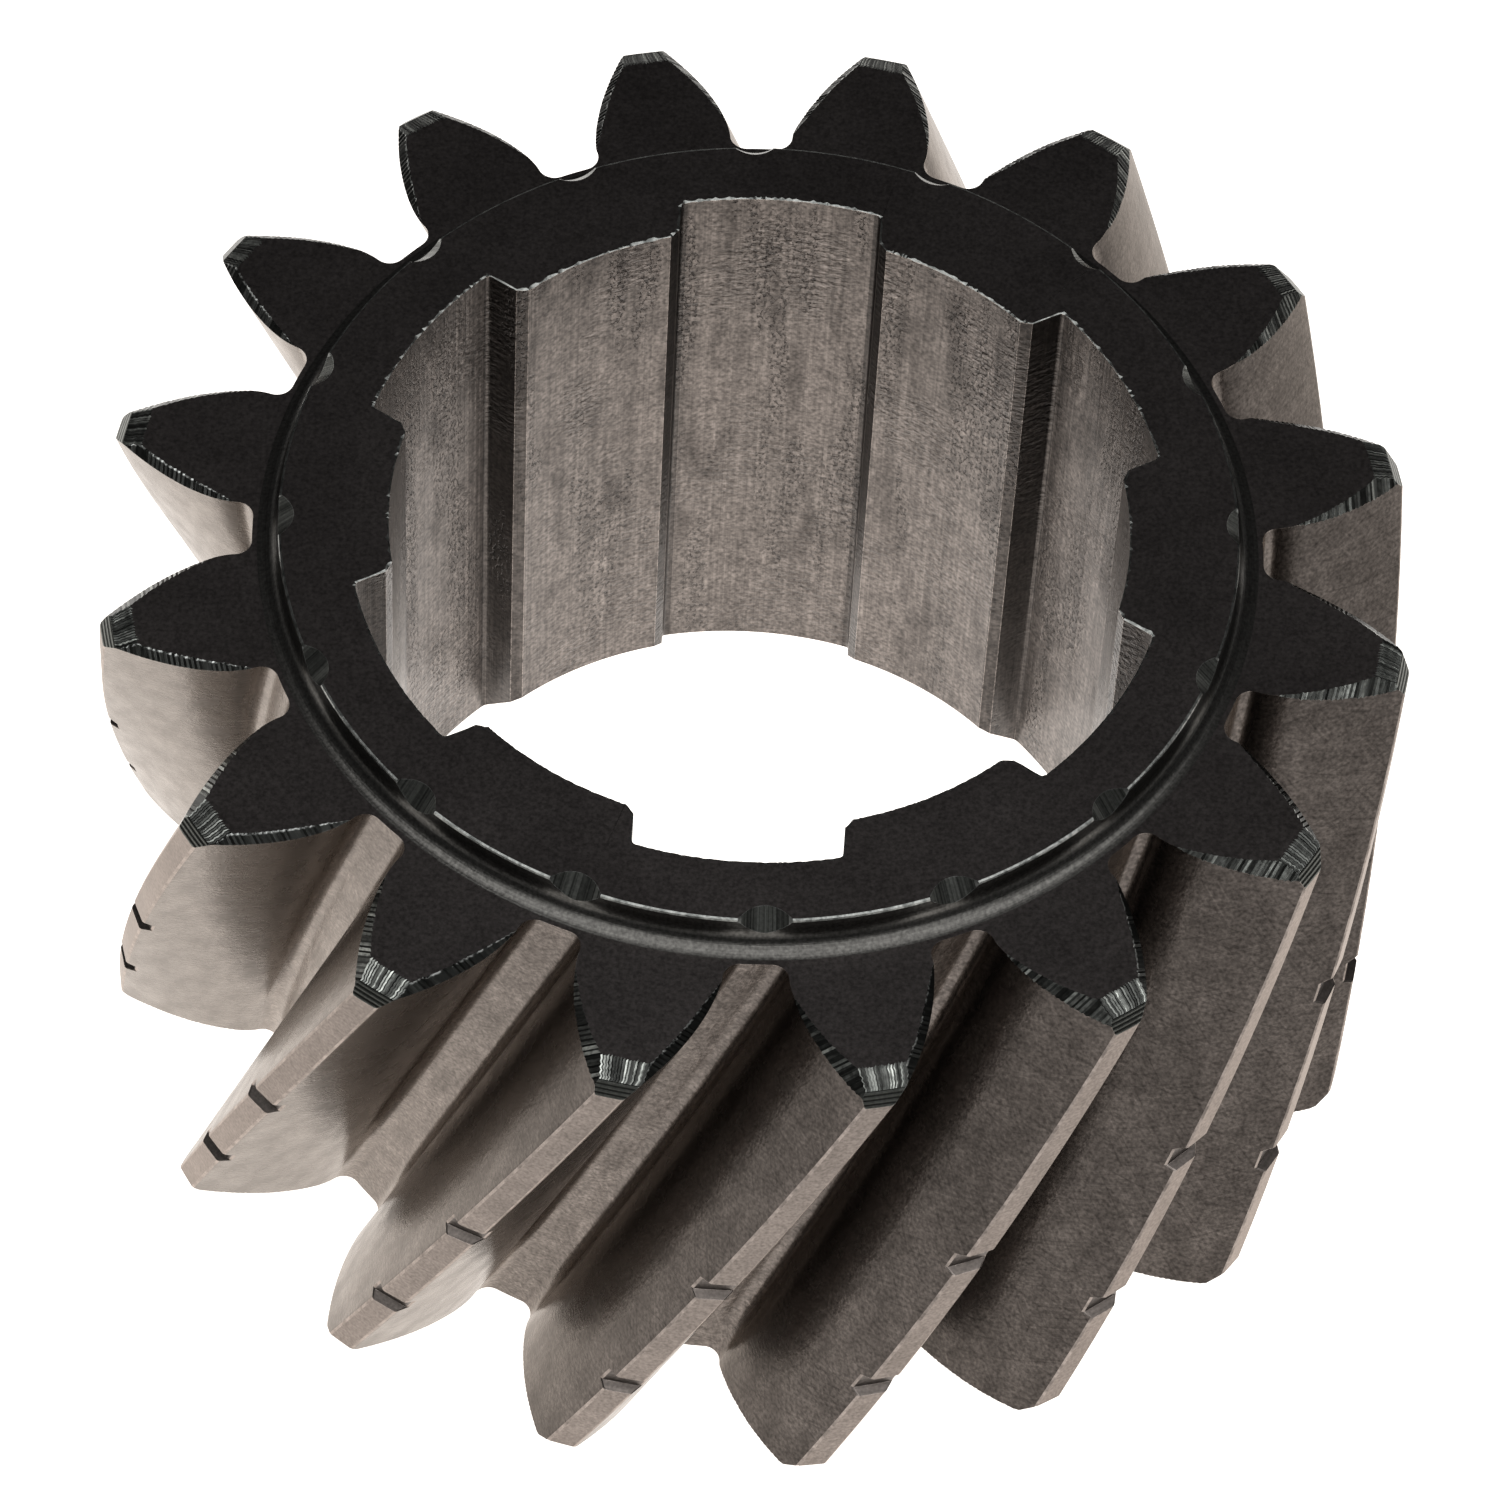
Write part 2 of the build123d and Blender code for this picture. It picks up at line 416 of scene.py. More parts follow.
# outward normals of the bore's outline, and the distance travelled round it
normals, travel = [], [0.0]
for i, (x, y) in enumerate(outline):
    x_before, y_before = outline[i - 1]
    x_after, y_after = outline[(i + 1) % len(RING)]
    size = hypot(x_after - x_before, y_after - y_before)
    normals.append(((y_after - y_before) / size, (x_before - x_after) / size))
    travel.append(travel[-1] + hypot(x - x_after, y - y_after))
burr = [BURR_LEAST + BURR_REST * rng.random() ** 2 for _ in RING]


def ring_column(i):
    """Points from the hub's foot over the top face, down the bore and under the lower face."""
    angle = RING[i]
    x, y = outline[i]
    nx, ny = normals[i]
    rows, nicked = hub_profile(angle)
    column = [polar(radius, angle, z) for radius, z in rows]
    column.append((x + nx * burr[i], y + ny * burr[i], HUB_TOP))
    low = LEAD_IN_R - hypot(x, y)
    high = HUB_TOP - BURR_DROP * burr[i]
    for k in range(BORE_STEPS + 1):
        column.append((x, y, high + (low - high) * k / BORE_STEPS))
    column.append(polar(LEAD_IN_R, angle, 0.0))
    column.append(polar(FOOT_R, angle, 0.0))
    return column, nicked


def column_regions(inner, nicked):
    """Region of each stretch of a column: hub, its edge, top face, burr, bore and lower face."""
    edge = "nick" if nicked else "worn"
    return ["hub"] * (HUB_STEPS + 1) + [edge] * 2 + ["face", "worn"] + [inner] * (BORE_STEPS + 1) + ["face"]


def ring_marks(p, angle, along, region):
    """Marks of a point: along the bore's outline, across a nick, or down the hub's profile."""
    if region in ("bore", "wall"):
        return along, p[2]
    if region == "nick":
        return angle * HUB_R, p[2]
    return hypot(p[0], p[1]) - p[2], angle * HUB_R


def build_ring():
    """Hub ring, bore and the middle of both end faces, as one column for each angle of the ring."""
    columns = [ring_column(i) for i in range(len(RING))]
    for i in range(len(RING)):
        j = (i + 1) % len(RING)
        (column_a, nicked_a), (column_b, nicked_b) = columns[i], columns[j]
        inner = "wall" if "wall" in (kinds[i], kinds[j]) else "bore"
        angle_b = RING[j] if j else RING[j] + TAU
        sides = ((column_a, RING[i], travel[i]), (column_b, angle_b, travel[i + 1]))
        for k, region in enumerate(column_regions(inner, nicked_a and nicked_b)):
            upper = [(column[k], angle, along) for column, angle, along in sides]
            lower = [(column[k + 1], angle, along) for column, angle, along in sides]
            corners = []
            for p, angle, along in upper + lower[::-1]:
                corners.append((p, ring_marks(p, angle, along, region)))
            build.face(corners, region)


build_ring()


# ---------------------------------------------------------------- teeth
def foot_profile():
    """(radius, angle from the tooth's centre) from the middle of the gap to the end of the fillet."""
    gap_half = PITCH / 2 - half_tooth(BASE_R)
    reach = ROOT_R + ROOT_FILLET
    middle = gap_half - asin(ROOT_FILLET / reach)
    profile = [(ROOT_R, PITCH / 2 - middle * i / ROOT_STEPS) for i in range(ROOT_STEPS)]
    for i in range(FILLET_STEPS + 1):
        turn = (middle + pi) + (gap_half + pi / 2 - middle - pi) * i / FILLET_STEPS
        x = reach * cos(middle) + ROOT_FILLET * cos(turn)
        y = reach * sin(middle) + ROOT_FILLET * sin(turn)
        profile.append((hypot(x, y), PITCH / 2 - atan2(y, x)))
    return profile


FOOT = foot_profile()
flank_r = [BASE_R + (FACE_R - BASE_R) * i / MAIN_COLUMNS for i in range(MAIN_COLUMNS)]
flank_r += [FACE_R + TIP_BEVEL_R * i / BEVEL_COLUMNS for i in range(BEVEL_COLUMNS + 1)]
tip_r = [BEVEL_R + GROOVE_DEPTH * i / TIP_STEPS for i in range(TIP_STEPS + 1)]

# heights of the rows along a tooth: the flank's, and the land's, which follow the grooves too
main_z = [END_Z]
land_z = [END_Z]


def even_rows(stop):
    """Adds evenly spaced heights up to a given one to both lists."""
    start = main_z[-1]
    span = stop - start
    steps = ceil(span / LONGEST_ROW)
    for i in range(1, steps + 1):
        main_z.append(start + span * i / steps)
        land_z.append(main_z[-1])


for groove in GROOVE_Z:
    even_rows(groove - GROOVE_WIDTH / 2)
    for i in range(1, TIP_STEPS + 1):
        land_z.append(groove - GROOVE_WIDTH / 2 + GROOVE_WALL * i / TIP_STEPS)
    for i in range(TIP_STEPS + 1):
        land_z.append(groove + GROOVE_FLOOR / 2 + GROOVE_WALL * i / TIP_STEPS)
    main_z.append(land_z[-1])
even_rows(FACE_Z - END_Z)


def end_points(radius, side, top, centre, extra=0.0):
    """The two edges of the milled band at a radius: on the end surface, and on the flank."""
    acute = (side > 0) == top
    width = read_width(ACUTE_EDGE if acute else OBTUSE_EDGE, radius)
    slope = ACUTE_SLOPE if acute else OBTUSE_SLOPE
    lean = TWIST * radius * (1 if acute else -1)
    depth = end_depth(radius)
    reference = centre + (TWIST * FACE_Z if top else 0.0)
    if width > 0:
        width += extra
    reach = width / (1 / tan(slope) + lean)
    nominal = half_tooth(radius) * radius

    def place(arc, down):
        z = FACE_Z - down if top else down
        return polar(radius, reference + side * arc / radius, z)

    if width > 0 and depth < reach:
        return place(nominal - width + depth / tan(slope), depth), place(nominal - lean * reach, reach)
    on_flank = place(nominal - lean * depth, depth)
    return on_flank, on_flank


def spread(left, right, radius, top, steps):
    """Points across the tooth at one radius, between its two edge points, with arc lengths."""
    a, b = atan2(left[1], left[0]), atan2(right[1], right[0])
    if b < a:
        b += TAU
    depth = end_depth(radius)
    z = FACE_Z - depth if top else depth
    between = [polar(radius, a + (b - a) * i / steps, z) for i in range(1, steps)]
    points = [left] + between + [right]
    return [(p, (i / steps - 0.5) * (b - a) * radius) for i, p in enumerate(points)]


def bevel_stroke(p, stroke, row, top):
    """Moves a point of the bevel as its stroke of the cutter went. Row 0 is the edge to the end face,
    where a stroke reaches inwards. The other rows go down, less so near both ends of the stroke."""
    if row == 0:
        shrink = 1 - BEVEL_STROKE_REACH * stroke / FACE_R
        return p[0] * shrink, p[1] * shrink, p[2]
    share = min(1.0, BEVEL_STROKE_RISE * row / BEVEL_COLUMNS + BEVEL_STROKE_START)
    if row == BEVEL_COLUMNS:
        share = BEVEL_STROKE_END
    dip = BEVEL_STROKE_DEPTH * stroke * share
    return p[0], p[1], p[2] - dip if top else p[2] + dip


class Tooth:
    """One tooth, with half of the gap on each side of it."""

    def __init__(self, number):
        self.centre = PHASE + number * PITCH
        self.marks = MARKS_PER_TOOTH * number
        self.bands = {}

    def make(self):
        for side in (1, -1):
            self.root(side)
            for top in (True, False):
                self.milled_band(side, top)
            self.flank(side)
            self.flank_top(side)
        land_rows = self.land()
        for top in (True, False):
            left = [p for p, _ in self.bands[-1, top]]
            right = [p for p, _ in self.bands[1, top]]
            row = self.turned_chamfer(top, left, right, land_rows[-1 if top else 0])
            rim = self.bevel(top, left, right, row)
            self.end_face(top, left[:MAIN_COLUMNS], right[:MAIN_COLUMNS], rim)

    def on_flank(self, radius, side, z):
        """A point on the flank with its marks: u up the tooth, v along it."""
        angle = self.centre + TWIST * z + side * half_tooth(radius)
        return polar(radius, angle, z), (radius - BASE_R, z)

    def on_corner(self, side, z):
        """Middle of the rounded edge between a flank and the land."""
        cut = ROUND_MIDDLE * EDGE_ROUND
        radius = blank_r(z)
        angle = self.centre + TWIST * z + side * (half_tooth(radius) - cut / radius)
        return polar(radius - cut, angle, z)

    def band_foot(self, side, top, column, radius):
        """Where a column of a milled band meets the flank, with the flank's marks."""
        p = self.bands[side, top][column][1]
        return p, (radius - BASE_R, p[2])

    def root(self, side):
        """Half of the gap's floor and its fillet, straight from end to end."""
        heights = [0.0] + main_z + [FACE_Z]
        rows = []
        for n, (radius, offset) in enumerate(FOOT + [(BASE_R, half_tooth(BASE_R))]):
            u = ROOT_U * (n - len(FOOT))
            rows.append([
                (polar(radius, self.centre + TWIST * z + side * offset, z), (u, z)) for z in heights
            ])
        for a, b in zip(rows, rows[1:]):
            build.strip(a, b, "flank")

    def milled_band(self, side, top):
        """Band along a flank's end, where every other column has a stroke's own extra width."""
        band = []
        for n, radius in enumerate(flank_r):
            extra = rng.uniform(*STROKE_EXTRA) if n % 2 else 0.0
            band.append(end_points(radius, side, top, self.centre, extra))
        for radius in tip_r[1:]:
            band.append(end_points(radius, side, top, self.centre))
        self.bands[side, top] = band
        first = self.marks + BAND_MARKS[side, top]
        kind = ACUTE_V if (side > 0) == top else OBTUSE_V
        outer = [(p, (n + first, kind)) for n, (p, _) in enumerate(band)]
        inner = [(p, (n + first, kind + 1)) for n, (_, p) in enumerate(band)]
        build.strip(outer, inner, "milled")

    def flank(self, side):
        """Flank from the root fillet to the outer radius of the bevel."""
        mains = flank_r[::STROKES]
        for z_a, z_b in zip(main_z, main_z[1:]):
            a = [self.on_flank(radius, side, z_a) for radius in mains]
            b = [self.on_flank(radius, side, z_b) for radius in mains]
            build.strip(a[:-1], b[:-1], "flank")
            # the last column carries the groove's own heights
            rim = [self.on_flank(BEVEL_R, side, z) for z in land_z if z_a <= z <= z_b]
            build.face([a[-2]] + rim + [b[-2]], "flank")
        for top in (True, False):
            z = main_z[-1] if top else main_z[0]
            near = [self.on_flank(radius, side, z) for radius in mains]
            far = [self.band_foot(side, top, n, radius) for n, radius in enumerate(flank_r)]
            build.strip(near, far, "flank")

    def flank_top(self, side):
        """Flank beside the tip chamfer, and the rounded edge of the land."""
        columns = []
        for n, radius in enumerate(tip_r, len(flank_r) - 1):
            column = [self.on_flank(min(radius, blank_r(z) - EDGE_ROUND), side, z) for z in land_z]
            low = self.band_foot(side, False, n, radius)
            high = self.band_foot(side, True, n, radius)
            columns.append([low] + column + [high])
        for a, b in zip(columns, columns[1:]):
            build.strip(a, b, "flank")
        corner = [(self.on_corner(side, z), (TIP_R - BASE_R, z)) for z in land_z]
        build.strip(columns[-1], [corner[0]] + corner + [corner[-1]], "edge")

    def land(self):
        """Land from one rounded edge to the other, with the ring grooves in it."""
        rows = []
        for z in land_z:
            radius = blank_r(z)
            half = half_tooth(radius) - EDGE_ROUND / radius
            v = z + self.marks
            row = [(self.on_corner(-1, z), (-half * radius, v))]
            for i in range(LAND_STEPS + 1):
                offset = half * (2 * i / LAND_STEPS - 1)
                p = polar(radius, self.centre + TWIST * z + offset, z)
                row.append((p, (offset * radius, v)))
            row.append((self.on_corner(1, z), (half * radius, v)))
            rows.append(row)
        for a, b, z_a, z_b in zip(rows, rows[1:], land_z, land_z[1:]):
            in_groove = blank_r((z_a + z_b) / 2) < TIP_R
            build.strip(a[1:-1], b[1:-1], "groove" if in_groove else "land")
            build.strip(a[:2], b[:2], "edge")
            build.strip(a[-2:], b[-2:], "edge")
        return rows

    def turned_chamfer(self, top, left, right, land_row):
        """Chamfer from the land's end row inwards; returns its innermost row."""
        previous = [(p, (TIP_R, uv[0])) for p, uv in land_row]
        for k in range(TIP_STEPS, 0, -1):
            n = len(flank_r) - 1 + k
            points = spread(left[n], right[n], tip_r[k], top, LAND_STEPS + 2)
            row = [(p, (tip_r[k], arc)) for p, arc in points]
            build.strip(previous, row, "turned")
            previous = row
        return previous

    def bevel(self, top, left, right, chamfer_row):
        """Milled bevel with its strokes, inwards from the chamfer; returns the points of its inner edge."""
        steps = (LAND_STEPS + 2) * TIP_STROKES
        strokes = [0.0] + [rng.uniform(*BEVEL_STROKE) * (i % 2) for i in range(1, steps)] + [0.0]
        first = self.marks + BEVEL_MARKS[top]
        rows = []
        for n in range(BEVEL_COLUMNS, -1, -1):
            k = MAIN_COLUMNS + n
            row = []
            for i, (p, _) in enumerate(spread(left[k], right[k], flank_r[k], top, steps)):
                uv = (i + first, BEVEL_V + 1 - n / BEVEL_COLUMNS)
                row.append((bevel_stroke(p, strokes[i], n, top), uv))
            rows.append(row)
        detailed = [(p, (BEVEL_R, TURNED_V * i)) for i, (p, _) in enumerate(rows[0])]
        build.strip(chamfer_row, detailed, "turned")
        for a, b in zip(rows, rows[1:]):
            build.strip(a, b, "milled")
        return [p for p, _ in rows[-1]]

    def end_face(self, top, left, right, rim):
        """End face of the tooth and of the ring behind it, out to the middle of each gap."""
        reference = self.centre + (TWIST * FACE_Z if top else 0.0)
        z = FACE_Z if top else 0.0
        points = [polar(radius, reference - angle, z) for radius, angle in FOOT]
        points += left + rim + right[::-1]
        points += [polar(radius, reference + angle, z) for radius, angle in FOOT[::-1]]
        inner = ring_between(reference - PITCH / 2, reference + PITCH / 2)
        points += [polar(FOOT_R, angle, z) for angle in inner[::-1]]
        build.face([(p, (hypot(p[0], p[1]), atan2(p[1], p[0]) * FOOT_R)) for p in points], "face")


for number in range(TEETH):
    Tooth(number).make()

# ---------------------------------------------------------------- mesh object
mesh = bpy.data.meshes.new("helical_gear_steel")
mesh.from_pydata([(x * MM, y * MM, z * MM) for x, y, z in build.points], [], build.faces)
marks_uv = mesh.uv_layers.new(name="Marks")
for polygon, region, coords in zip(mesh.polygons, build.regions, build.coords):
    polygon.material_index = region
    for loop, uv in zip(polygon.loop_indices, coords):
        marks_uv.data[loop].uv = uv
work = bmesh.new()
work.from_mesh(mesh)
bmesh.ops.recalc_face_normals(work, faces=work.faces)
work.to_mesh(mesh)
work.free()
mesh.shade_smooth()
mesh.set_sharp_from_angle(angle=SHARP_ANGLE)
touching = {}
for polygon in mesh.polygons:
    for key in polygon.edge_keys:
        touching.setdefault(key, set()).add(REGIONS[polygon.material_index])
for edge in mesh.edges:
    regions = touching[edge.key]
    if len(regions) > 1 and regions not in SMOOTH_TOGETHER:
        edge.use_edge_sharp = True
gear = bpy.data.objects.new("helical_gear_steel", mesh)
bpy.context.scene.collection.objects.link(gear)


# ---------------------------------------------------------------- materials
class Nodes:
    """Adds shader nodes to a tree."""

    def __init__(self, tree):
        self.tree = tree

    def add(self, kind, inputs=None, **props):
        """Makes a node; its inputs are sockets to link or plain values."""
        made = self.tree.nodes.new(kind)
        for key, value in props.items():
            setattr(made, key, value)
        for key, value in (inputs or {}).items():
            if isinstance(value, bpy.types.NodeSocket):
                self.tree.links.new(value, made.inputs[key])
            else:
                made.inputs[key].default_value = value
        return made

    def math(self, operation, a, b=0.0, c=0.0):
        return self.add("ShaderNodeMath", {0: a, 1: b, 2: c}, operation=operation).outputs[0]

    def times(self, a, b):
        return self.math("MULTIPLY", a, b)

    def remap(self, value, low, high, to_low=0.0, to_high=1.0):
        names = ("From Min", "From Max", "To Min", "To Max")
        inputs = {"Value": value, **dict(zip(names, (low, high, to_low, to_high)))}
        return self.add("ShaderNodeMapRange", inputs).outputs[0]


class Finish(Nodes):
    """A metal material whose tone, roughness and height are built up from small node pieces."""

    def __init__(self, name, colour, roughness, glance=(1.0, 1.0, 1.0)):
        """glance: colour of the reflection where the surface is seen edge on."""
        self.material = bpy.data.materials.new(name)
        self.material.use_nodes = True
        super().__init__(self.material.node_tree)
        self.shader = self.tree.nodes["Principled BSDF"]
        self.shader.inputs["Metallic"].default_value = 1.0
        self.shader.inputs["Specular Tint"].default_value = (*glance, 1)
        self.colour = self.add("ShaderNodeRGB").outputs[0]
        self.colour.default_value = (*colour, 1)
        self.roughness = roughness
        self.height = 0.0
        self.uv = self.add("ShaderNodeUVMap", uv_map="Marks").outputs[0]
        self.place = self.add("ShaderNodeTexCoord").outputs["Object"]
        both = self.add("ShaderNodeSeparateXYZ", {0: self.uv})
        self.u, self.v = both.outputs["X"], both.outputs["Y"]

    def noise_over(self, vector, scale, detail):
        inputs = {"Vector": vector, "Scale": scale, "Detail": detail}
        return self.add("ShaderNodeTexNoise", inputs).outputs["Fac"]

    def stretched(self, scale, detail, vector, stretch, shift):
        """Noise over a vector in the marks' own directions, with a scale for each and a shift of place."""
        inputs = {"Vector": vector, "Scale": (*stretch, 1), "Location": (shift, shift * 0.7, 0)}
        return self.noise_over(self.add("ShaderNodeMapping", inputs).outputs[0], scale, detail)

    def noise(self, scale, detail=2.0, stretch=None, shift=0.0):
        """Noise in object space (scale per mm), or over the marks' own directions where stretched."""
        if stretch:
            return self.stretched(scale, detail, self.uv, stretch, shift)
        return self.noise_over(self.place, scale / MM, detail)

    def pattern(self, scale, detail=2.0, stretch=None, shift=0.0, span=(0.3, 0.7)):
        """Noise with the two values of span brought to 0 and 1."""
        return self.remap(self.noise(scale, detail, stretch, shift), *span)

    def tone(self, factor, low, high):
        """Multiplies the colour by low to high as the factor goes from 0 to 1."""
        inputs = {0: self.colour, "Scale": self.remap(factor, 0.0, 1.0, low, high)}
        self.colour = self.add("ShaderNodeVectorMath", inputs, operation="SCALE").outputs[0]

    def tint(self, factor, colour):
        """Mixes another colour in by the factor."""
        mix = self.add("ShaderNodeMix", {0: factor, 6: self.colour, 7: (*colour, 1)}, data_type="RGBA")
        self.colour = mix.outputs[2]

    def rough(self, factor, change):
        self.roughness = self.math("MULTIPLY_ADD", factor, change, self.roughness)

    def lift(self, factor, millimetres):
        self.height = self.math("MULTIPLY_ADD", factor, millimetres, self.height)

    def grain(self, amount=0.22, size=3.6, relief=0.004):
        """Fine speckle of the metal, light and dark by the amount, with its relief in mm."""
        fine = self.pattern(size, 1.0, span=(0.25, 0.75))
        self.tone(fine, 1 - amount, 1 + amount)
        self.lift(fine, relief)

    def edges(self, width, colour, strength, span=(0.35, 0.62), scale=1.6):
        """Bright, broken mark where the surface turns over an edge: partly wear, partly painted highlight.
        """
        soft = self.add("ShaderNodeBevel", {"Radius": width * MM}, samples=4).outputs[0]
        flat = self.add("ShaderNodeNewGeometry").outputs["True Normal"]
        inputs = {0: soft, 1: flat}
        turn = self.add("ShaderNodeVectorMath", inputs, operation="DOT_PRODUCT").outputs["Value"]
        mask = self.remap(turn, *EDGE_TURN)
        broken = self.pattern(scale, 3.0, span=span)
        self.tint(self.times(self.times(mask, broken), strength), colour)

    def finish(self):
        bump = self.add("ShaderNodeBump", {"Height": self.height, "Distance": MM})
        self.tree.links.new(bump.outputs[0], self.shader.inputs["Normal"])
        self.tree.links.new(self.colour, self.shader.inputs["Base Color"])
        if isinstance(self.roughness, bpy.types.NodeSocket):
            self.tree.links.new(self.roughness, self.shader.inputs["Roughness"])
        else:
            self.shader.inputs["Roughness"].default_value = self.roughness
        finishes[self.material.name] = self.material


finishes = {}
# cosine between flat and rounded normal: no edge wear or painted edge highlight above the first, full below
# the second
EDGE_TURN = (0.985, 0.86)
# colour of the edges' wear and painted highlight
EDGE_WEAR_AND_HIGHLIGHT_TONE = (0.62, 0.64, 0.62)
# colour of the painted highlight on the milled strokes
STROKE_HIGHLIGHT_TONE = (0.70, 0.73, 0.68)
SCALE_TONE = (0.12, 0.125, 0.12)
STAIN_TONE = (0.052, 0.045, 0.041)
LAND_GLANCE = (0.97, 0.90, 0.85)
FLANK_GLANCE = (1.0, 0.95, 0.905)
WARM = (1.0, 0.875, 0.800)


def warm(level):
    return tuple(level * c for c in WARM)


def face_finish():
    """End faces: dark scale left by heat treatment, over fine turning rings."""
    m = Finish("face", (0.104, 0.093, 0.090), roughness=0.30)
    rings = m.pattern(1.0, 3.0, stretch=(2.2, 0.015))
    m.tone(rings, 0.94, 1.06)
    m.lift(rings, 0.0012)
    m.rough(m.noise(0.12, 2.0), 0.10)
    m.grain(amount=0.34, size=3.0, relief=0.004)
    m.edges(0.12, EDGE_WEAR_AND_HIGHLIGHT_TONE, strength=0.40, span=(0.52, 0.66), scale=1.2)
    m.finish()


def milled_finish():
    """Milled bands and bevels: one bright stroke beside one dark, straight across the edge. The bright
    strokes are painted highlight, full on the bevels, less on the obtuse bands, faint on the acute bands.
    """
    m = Finish("milled", (0.033, 0.034, 0.032), roughness=0.26)
    number = m.math("FLOOR", m.u)
    drawn = m.add("ShaderNodeTexWhiteNoise", {"W": number}, noise_dimensions="1D").outputs["Value"]
    odd = m.math("MODULO", number, 2.0)
    # painted highlight on the strokes: every other stroke lighter, by a random amount for each stroke
    bright = m.times(m.math("POWER", drawn, 1.9), m.remap(odd, 0.0, 1.0, 1.0, 0.25))
    # the painted stroke highlight is full on the bevels, weaker on the obtuse bands and faint on the acute
    # bands
    on_obtuse = m.remap(m.v, OBTUSE_V - 0.6, OBTUSE_V - 0.4, 0.05, 0.75)
    on_bevel = m.remap(m.v, BEVEL_V - 0.6, BEVEL_V - 0.4)
    scatter = m.remap(m.noise(2.2, 2.0), 0.35, 0.6, 0.45, 1.0)
    bright = m.times(m.times(bright, m.math("MAXIMUM", on_bevel, on_obtuse)), scatter)
    m.tint(bright, STROKE_HIGHLIGHT_TONE)
    m.lift(m.noise(1.0, 2.0, stretch=(3.0, 0.8), shift=5.0), 0.02)
    m.rough(scatter, 0.10)
    # the outer edge of the acute bands, where v starts, is lighter here and there: partly wear, partly
    # painted highlight
    acute_edge_wear_and_highlight = m.times(m.remap(m.v, 0.22, 0.10), m.pattern(2.2, 2.0, span=(0.44, 0.58)))
    m.tint(acute_edge_wear_and_highlight, EDGE_WEAR_AND_HIGHLIGHT_TONE)
    m.edges(0.10, EDGE_WEAR_AND_HIGHLIGHT_TONE, strength=0.30, span=(0.50, 0.62), scale=2.0)
    m.finish()


def turned_finish():
    """Turned chamfer on the tips: a few fine rings, u being the radius in mm."""
    m = Finish("turned", (0.058, 0.060, 0.055), roughness=0.28)
    ring = m.math("SINE", m.times(m.u, 24.0))
    m.tone(m.remap(ring, -0.6, 1.0), 0.9, 3.8)
    m.lift(ring, 0.010)
    m.grain(amount=0.2)
    m.edges(0.12, EDGE_WEAR_AND_HIGHLIGHT_TONE, strength=0.6)
    m.finish()


def land_finish():
    """Lands: the turned outside diameter."""
    m = Finish("land", warm(0.175), roughness=0.36, glance=LAND_GLANCE)
    turned = m.pattern(1.0, 2.0, stretch=(0.12, 3.2))
    m.tone(turned, 0.90, 1.08)
    m.lift(turned, 0.003)
    m.tone(m.pattern(0.25, 3.0), 0.86, 1.1)
    m.grain(amount=0.30, size=3.2, relief=0.006)
    m.edges(0.12, warm(0.6), strength=0.5, span=(0.3, 0.5))
    m.finish()


def flank_finish():
    """Flanks: fine marks across the tooth, slanted scratches, a lighter strip along the root that is
    painted highlight.
    """
    m = Finish("flank", warm(0.064), roughness=0.30, glance=FLANK_GLANCE)
    # painted highlight: a lighter tone along the root fillet, fading out up the flank
    root = m.remap(m.u, 0.3, -1.6)
    m.tint(root, warm(0.115))
    across = m.pattern(1.0, 3.0, stretch=(0.10, 1.7))
    m.tone(across, 0.88, 1.12)
    m.lift(across, 0.004)
    for slant, shift in ((0.9, 9.0), (-0.5, 23.0), (0.25, 41.0)):
        leaning = m.add("ShaderNodeMapping", {"Vector": m.uv, "Rotation": (0, 0, slant)}).outputs[0]
        scratch = m.stretched(1.0, 3.0, leaning, (0.10, 3.4), shift)
        m.tone(m.remap(scratch, 0.60, 0.70), 1.0, 1.22)
        m.tone(m.remap(scratch, 0.42, 0.34), 1.0, 0.78)
    mottle = m.pattern(1.0, 4.0, stretch=(0.55, 0.20), shift=3.0)
    m.tone(mottle, 0.80, 1.20)
    m.lift(mottle, 0.018)
    m.rough(mottle, -0.07)
    m.tone(m.pattern(0.10, 4.0), 0.86, 1.14)
    m.grain(amount=0.40, size=2.8, relief=0.007)
    m.edges(0.12, warm(0.6), strength=0.6, span=(0.4, 0.6))
    m.finish()


def hub_finish():
    """Hub fillet and side wall: the same dark scale, with finer and stronger rings."""
    m = Finish("hub", (0.098, 0.095, 0.089), roughness=0.30)
    rings = m.pattern(1.0, 3.0, stretch=(5.0, 0.02))
    m.tone(rings, 0.84, 1.18)
    m.lift(rings, 0.005)
    m.grain(amount=0.34, size=3.2, relief=0.006)
    m.finish()


def nick_finish():
    """Nicks: cut through the scale, streaked in line with the cutter."""
    m = Finish("nick", (0.102, 0.106, 0.098), roughness=0.32)
    streak = m.pattern(1.0, 2.0, stretch=(7.0, 0.05), span=(0.32, 0.68))
    m.tone(streak, 0.5, 1.7)
    m.lift(streak, 0.012)
    m.grain(amount=0.2)
    m.edges(0.14, EDGE_WEAR_AND_HIGHLIGHT_TONE, strength=0.9, span=(0.35, 0.55))
    m.finish()


def worn_and_highlit_finish():
    """Edges of hub and bore, rubbed back to bare steel, here and there still dark; their light tone is
    partly painted highlight along the rounded edge.
    """
    m = Finish("worn", (0.27, 0.278, 0.266), roughness=0.30)
    m.tint(m.pattern(1.2, 5.0, span=(0.56, 0.38)), SCALE_TONE)
    m.grain(amount=0.3)
    m.finish()


def edge_finish():
    """Rounded edges of the lands, lighter than the lands themselves: painted highlight along them, broken
    up here and there.
    """
    m = Finish("edge", warm(0.25), roughness=0.32, glance=LAND_GLANCE)
    m.tone(m.pattern(0.7, 3.0, span=(0.35, 0.62)), 0.55, 1.1)
    m.grain(amount=0.2)
    m.finish()


